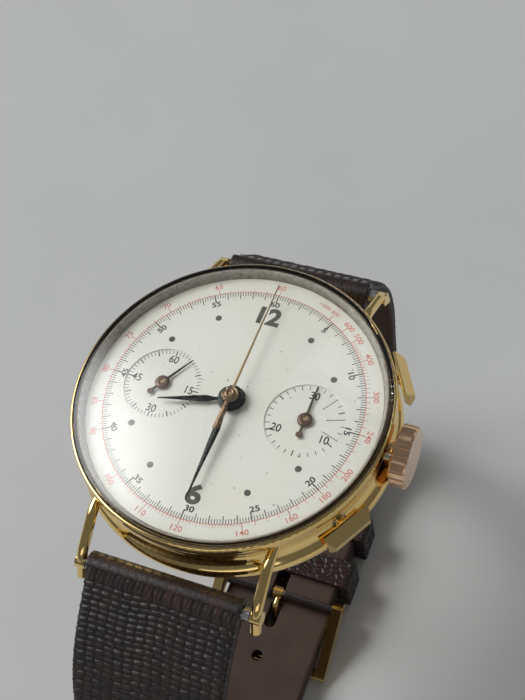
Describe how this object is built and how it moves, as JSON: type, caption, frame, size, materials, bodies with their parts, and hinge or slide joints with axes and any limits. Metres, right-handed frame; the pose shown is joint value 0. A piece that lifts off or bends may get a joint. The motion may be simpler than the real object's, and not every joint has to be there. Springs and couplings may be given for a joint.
{
  "type": "chronograph wristwatch",
  "caption": "Round wristwatch with two push pieces, two sub-dials, wire lugs and a buckled leather strap, standing on its buckle with the dial up.",
  "frame": {"origin": "centre of the case back's outer face", "axes": "+Z out through the crystal, +Y towards 12 o'clock, +X towards the crown at 3 o'clock"},
  "size_m": [0.0397, 0.067, 0.058],
  "materials": {
    "acrylic": "clear",
    "blued_steel": "polished",
    "brass_hand": "satin",
    "copper_hand": "satin",
    "dark_hand": "satin",
    "dial": "satin",
    "gilt": "brushed",
    "gold": "polished",
    "leather": "grained",
    "rose_gilt": "brushed",
    "rose_gold": "polished",
    "ruby": "gloss",
    "steel": "polished"
  },
  "bodies": {
    "case": {"mid_case": "gold", "bezel": "gold", "crystal": "acrylic", "case_back": "gold", "lugs": "gold", "spring_bars": "steel", "case_tubes": "steel", "dial": "dial", "main_plate": "rose_gilt", "train_bridge": "rose_gilt", "barrel_bridge": "rose_gilt", "balance_cock": "rose_gilt", "pallet_bridge": "rose_gilt", "chronograph_bridge": "rose_gilt", "jewels": "ruby", "case_clamps": "steel", "movement_screws": "steel", "strap_long": "leather", "strap_short": "leather", "fixed_keeper": "leather"},
    "barrel": {"barrel": "gilt", "mainspring": "steel"},
    "centre": {"centre_wheel": "gilt", "cannon_pinion": "steel", "minute_hand": "dark_hand"},
    "third": {"third_wheel": "gilt"},
    "fourth": {"fourth_wheel": "gilt", "running_seconds_hand": "copper_hand"},
    "escape": {"escape_wheel": "steel"},
    "pallet_fork": {"pallet_fork": "steel"},
    "balance": {"balance_wheel": "gilt", "hairspring": "blued_steel"},
    "minute_wheel": {"minute_wheel": "gilt"},
    "hour": {"hour_wheel": "gilt", "hour_hand": "dark_hand"},
    "winding": {"winding_pinion": "steel"},
    "clutch": {"sliding_pinion": "steel"},
    "crown": {"crown": "rose_gold", "winding_stem": "steel"},
    "setting_lever": {"setting_lever": "steel"},
    "crown_wheel": {"crown_wheel": "steel"},
    "winding_idler": {"winding_idler": "steel"},
    "ratchet": {"ratchet_wheel": "steel"},
    "click": {"click": "steel"},
    "start_pusher": {"start_pusher": "gold"},
    "reset_pusher": {"reset_pusher": "gold"},
    "start_lever": {"start_lever": "steel"},
    "reset_lever": {"reset_lever": "steel"},
    "hammer": {"hammer": "steel"},
    "clutch_lever": {"clutch_lever": "steel"},
    "coupling_wheel": {"coupling_wheel": "gilt"},
    "chrono": {"chronograph_runner": "gilt", "chrono_seconds_hand": "brass_hand"},
    "recorder": {"minute_recorder_wheel": "gilt", "minute_recorder_hand": "copper_hand"},
    "recorder_idler": {"recorder_idler": "gilt"},
    "column_wheel": {"column_wheel": "steel"},
    "free_keeper": {"free_keeper": "leather"},
    "buckle_frame": {"buckle_frame": "gold"},
    "buckle_prong": {"buckle_prong": "gold"}
  },
  "joints": [
    {"name": "seconds_turn", "type": "hinge", "parent": "case", "child": "fourth", "pos_m": [-0.00863, 0, 0.006], "axis": [0, 0, -1], "continuous": true},
    {"name": "third_turn", "type": "hinge", "parent": "case", "child": "third", "pos_m": [-0.00464, 0.00318, 0.006], "axis": [0, 0, -1], "continuous": true},
    {"name": "minute_turn", "type": "hinge", "parent": "case", "child": "centre", "pos_m": [0, 0, 0.006], "axis": [0, 0, -1], "continuous": true},
    {"name": "barrel_turn", "type": "hinge", "parent": "case", "child": "barrel", "pos_m": [0.00357, 0.00617, 0.006], "axis": [0, 0, -1], "continuous": true},
    {"name": "minute_wheel_turn", "type": "hinge", "parent": "case", "child": "minute_wheel", "pos_m": [0.00216, -0.00257, 0.006], "axis": [0, 0, -1], "continuous": true},
    {"name": "hour_turn", "type": "hinge", "parent": "case", "child": "hour", "pos_m": [0, 0, 0.006], "axis": [0, 0, -1], "continuous": true},
    {"name": "escape_turn", "type": "hinge", "parent": "case", "child": "escape", "pos_m": [-0.00738, -0.00468, 0.006], "axis": [0, 0, -1], "continuous": true},
    {"name": "pallet_swing", "type": "hinge", "parent": "case", "child": "pallet_fork", "pos_m": [-0.0063, -0.00698, 0.006], "axis": [0, 0, 1], "range_deg": [-5, 5]},
    {"name": "balance_swing", "type": "hinge", "parent": "case", "child": "balance", "pos_m": [-0.00418, -0.0095, 0.006], "axis": [0, 0, 1], "range_deg": [-220, 220]},
    {"name": "crown_turn", "type": "hinge", "parent": "case", "child": "winding", "pos_m": [0.013, 0, 0.006], "axis": [1, 0, 0], "continuous": true},
    {"name": "crown_pull", "type": "slide", "parent": "winding", "child": "crown", "axis": [1, 0, 0], "range_m": [0, 0.0008]},
    {"name": "clutch_slide", "type": "slide", "parent": "winding", "child": "clutch", "axis": [-1, 0, 0], "range_m": [0, 0.00048]},
    {"name": "setting_lever_turn", "type": "hinge", "parent": "case", "child": "setting_lever", "pos_m": [0.0149, 0.0033, 0.006], "axis": [0, 0, 1], "range_deg": [0, 14]},
    {"name": "crown_wheel_turn", "type": "hinge", "parent": "case", "child": "crown_wheel", "pos_m": [0.0116, 0, 0.006], "axis": [0, 0, 1], "continuous": true},
    {"name": "winding_idler_turn", "type": "hinge", "parent": "case", "child": "winding_idler", "pos_m": [0.00787, 0.00286, 0.006], "axis": [0, 0, 1], "continuous": true},
    {"name": "ratchet_turn", "type": "hinge", "parent": "case", "child": "ratchet", "pos_m": [0.00357, 0.00617, 0.006], "axis": [0, 0, 1], "continuous": true},
    {"name": "click_rock", "type": "hinge", "parent": "case", "child": "click", "pos_m": [0.0006, 0.0099, 0.006], "axis": [0, 0, -1], "range_deg": [0, 8]},
    {"name": "start_press", "type": "slide", "parent": "case", "child": "start_pusher", "axis": [-0.866, -0.5, 0], "range_m": [0, 0.0006], "stiffness_N_per_m": 4000},
    {"name": "reset_press", "type": "slide", "parent": "case", "child": "reset_pusher", "axis": [-0.866, 0.5, 0], "range_m": [0, 0.0006], "stiffness_N_per_m": 4000},
    {"name": "start_lever_swing", "type": "hinge", "parent": "case", "child": "start_lever", "pos_m": [0.01405, 0.00123, 0.006], "axis": [0, 0, 1], "range_deg": [0, 6]},
    {"name": "reset_lever_swing", "type": "hinge", "parent": "case", "child": "reset_lever", "pos_m": [0.00868, -0.01111, 0.006], "axis": [0, 0, 1], "range_deg": [0, 6.8]},
    {"name": "hammer_swing", "type": "hinge", "parent": "case", "child": "hammer", "pos_m": [0.0043, -0.0042, 0.006], "axis": [0, 0, 1], "range_deg": [0, 4]},
    {"name": "clutch_lever_swing", "type": "hinge", "parent": "case", "child": "clutch_lever", "pos_m": [-0.00863, 0, 0.006], "axis": [0, 0, -1], "range_deg": [0, 2.4]},
    {"name": "coupling_turn", "type": "hinge", "parent": "clutch_lever", "child": "coupling_wheel", "pos_m": [-0.00502, 0.00319, 0.006], "axis": [0, 0, -1], "continuous": true},
    {"name": "chrono_turn", "type": "hinge", "parent": "case", "child": "chrono", "pos_m": [0, 0, 0.006], "axis": [0, 0, -1], "continuous": true},
    {"name": "recorder_turn", "type": "hinge", "parent": "case", "child": "recorder", "pos_m": [0.00863, 0, 0.006], "axis": [0, 0, -1], "continuous": true},
    {"name": "recorder_idler_turn", "type": "hinge", "parent": "case", "child": "recorder_idler", "pos_m": [0.00511, 0, 0.006], "axis": [0, 0, -1], "continuous": true},
    {"name": "column_wheel_turn", "type": "hinge", "parent": "case", "child": "column_wheel", "pos_m": [0.0106, -0.0056, 0.006], "axis": [0, 0, -1], "continuous": true},
    {"name": "keeper_slide", "type": "slide", "parent": "case", "child": "free_keeper", "axis": [0, 1, 0], "range_m": [-0.0025, 0.0015]},
    {"name": "buckle_hinge", "type": "hinge", "parent": "case", "child": "buckle_frame", "pos_m": [-0.0003, -0.0032, -0.04167], "axis": [1, 0, 0], "range_deg": [0, 2]},
    {"name": "prong_hinge", "type": "hinge", "parent": "buckle_frame", "child": "buckle_prong", "pos_m": [-0.0003, -0.0032, -0.04167], "axis": [1, 0, 0], "range_deg": [0, 2]}
  ],
  "couplings": [
    {"joint": "third_turn", "follows": "seconds_turn", "ratio": -0.13333},
    {"joint": "minute_turn", "follows": "seconds_turn", "ratio": 0.016667},
    {"joint": "barrel_turn", "follows": "seconds_turn", "ratio": -0.0025},
    {"joint": "minute_wheel_turn", "follows": "seconds_turn", "ratio": -0.0055556},
    {"joint": "hour_turn", "follows": "seconds_turn", "ratio": 0.0013889},
    {"joint": "escape_turn", "follows": "seconds_turn", "ratio": -10},
    {"joint": "clutch_slide", "follows": "crown_pull", "ratio": 0.6},
    {"joint": "setting_lever_turn", "follows": "crown_pull", "rad_per_m": 303.03},
    {"joint": "crown_wheel_turn", "follows": "crown_turn", "ratio": 0.6087},
    {"joint": "winding_idler_turn", "follows": "crown_turn", "ratio": -0.58333},
    {"joint": "ratchet_turn", "follows": "crown_turn", "ratio": 0.46667},
    {"joint": "start_lever_swing", "follows": "start_press", "rad_per_m": 167.8},
    {"joint": "reset_lever_swing", "follows": "reset_press", "rad_per_m": 189.4},
    {"joint": "hammer_swing", "follows": "reset_press", "rad_per_m": 109},
    {"joint": "coupling_turn", "follows": "seconds_turn", "ratio": -1.6364},
    {"joint": "recorder_turn", "follows": "chrono_turn", "ratio": 0.033333},
    {"joint": "recorder_idler_turn", "follows": "chrono_turn", "ratio": -0.071429}
  ]
}
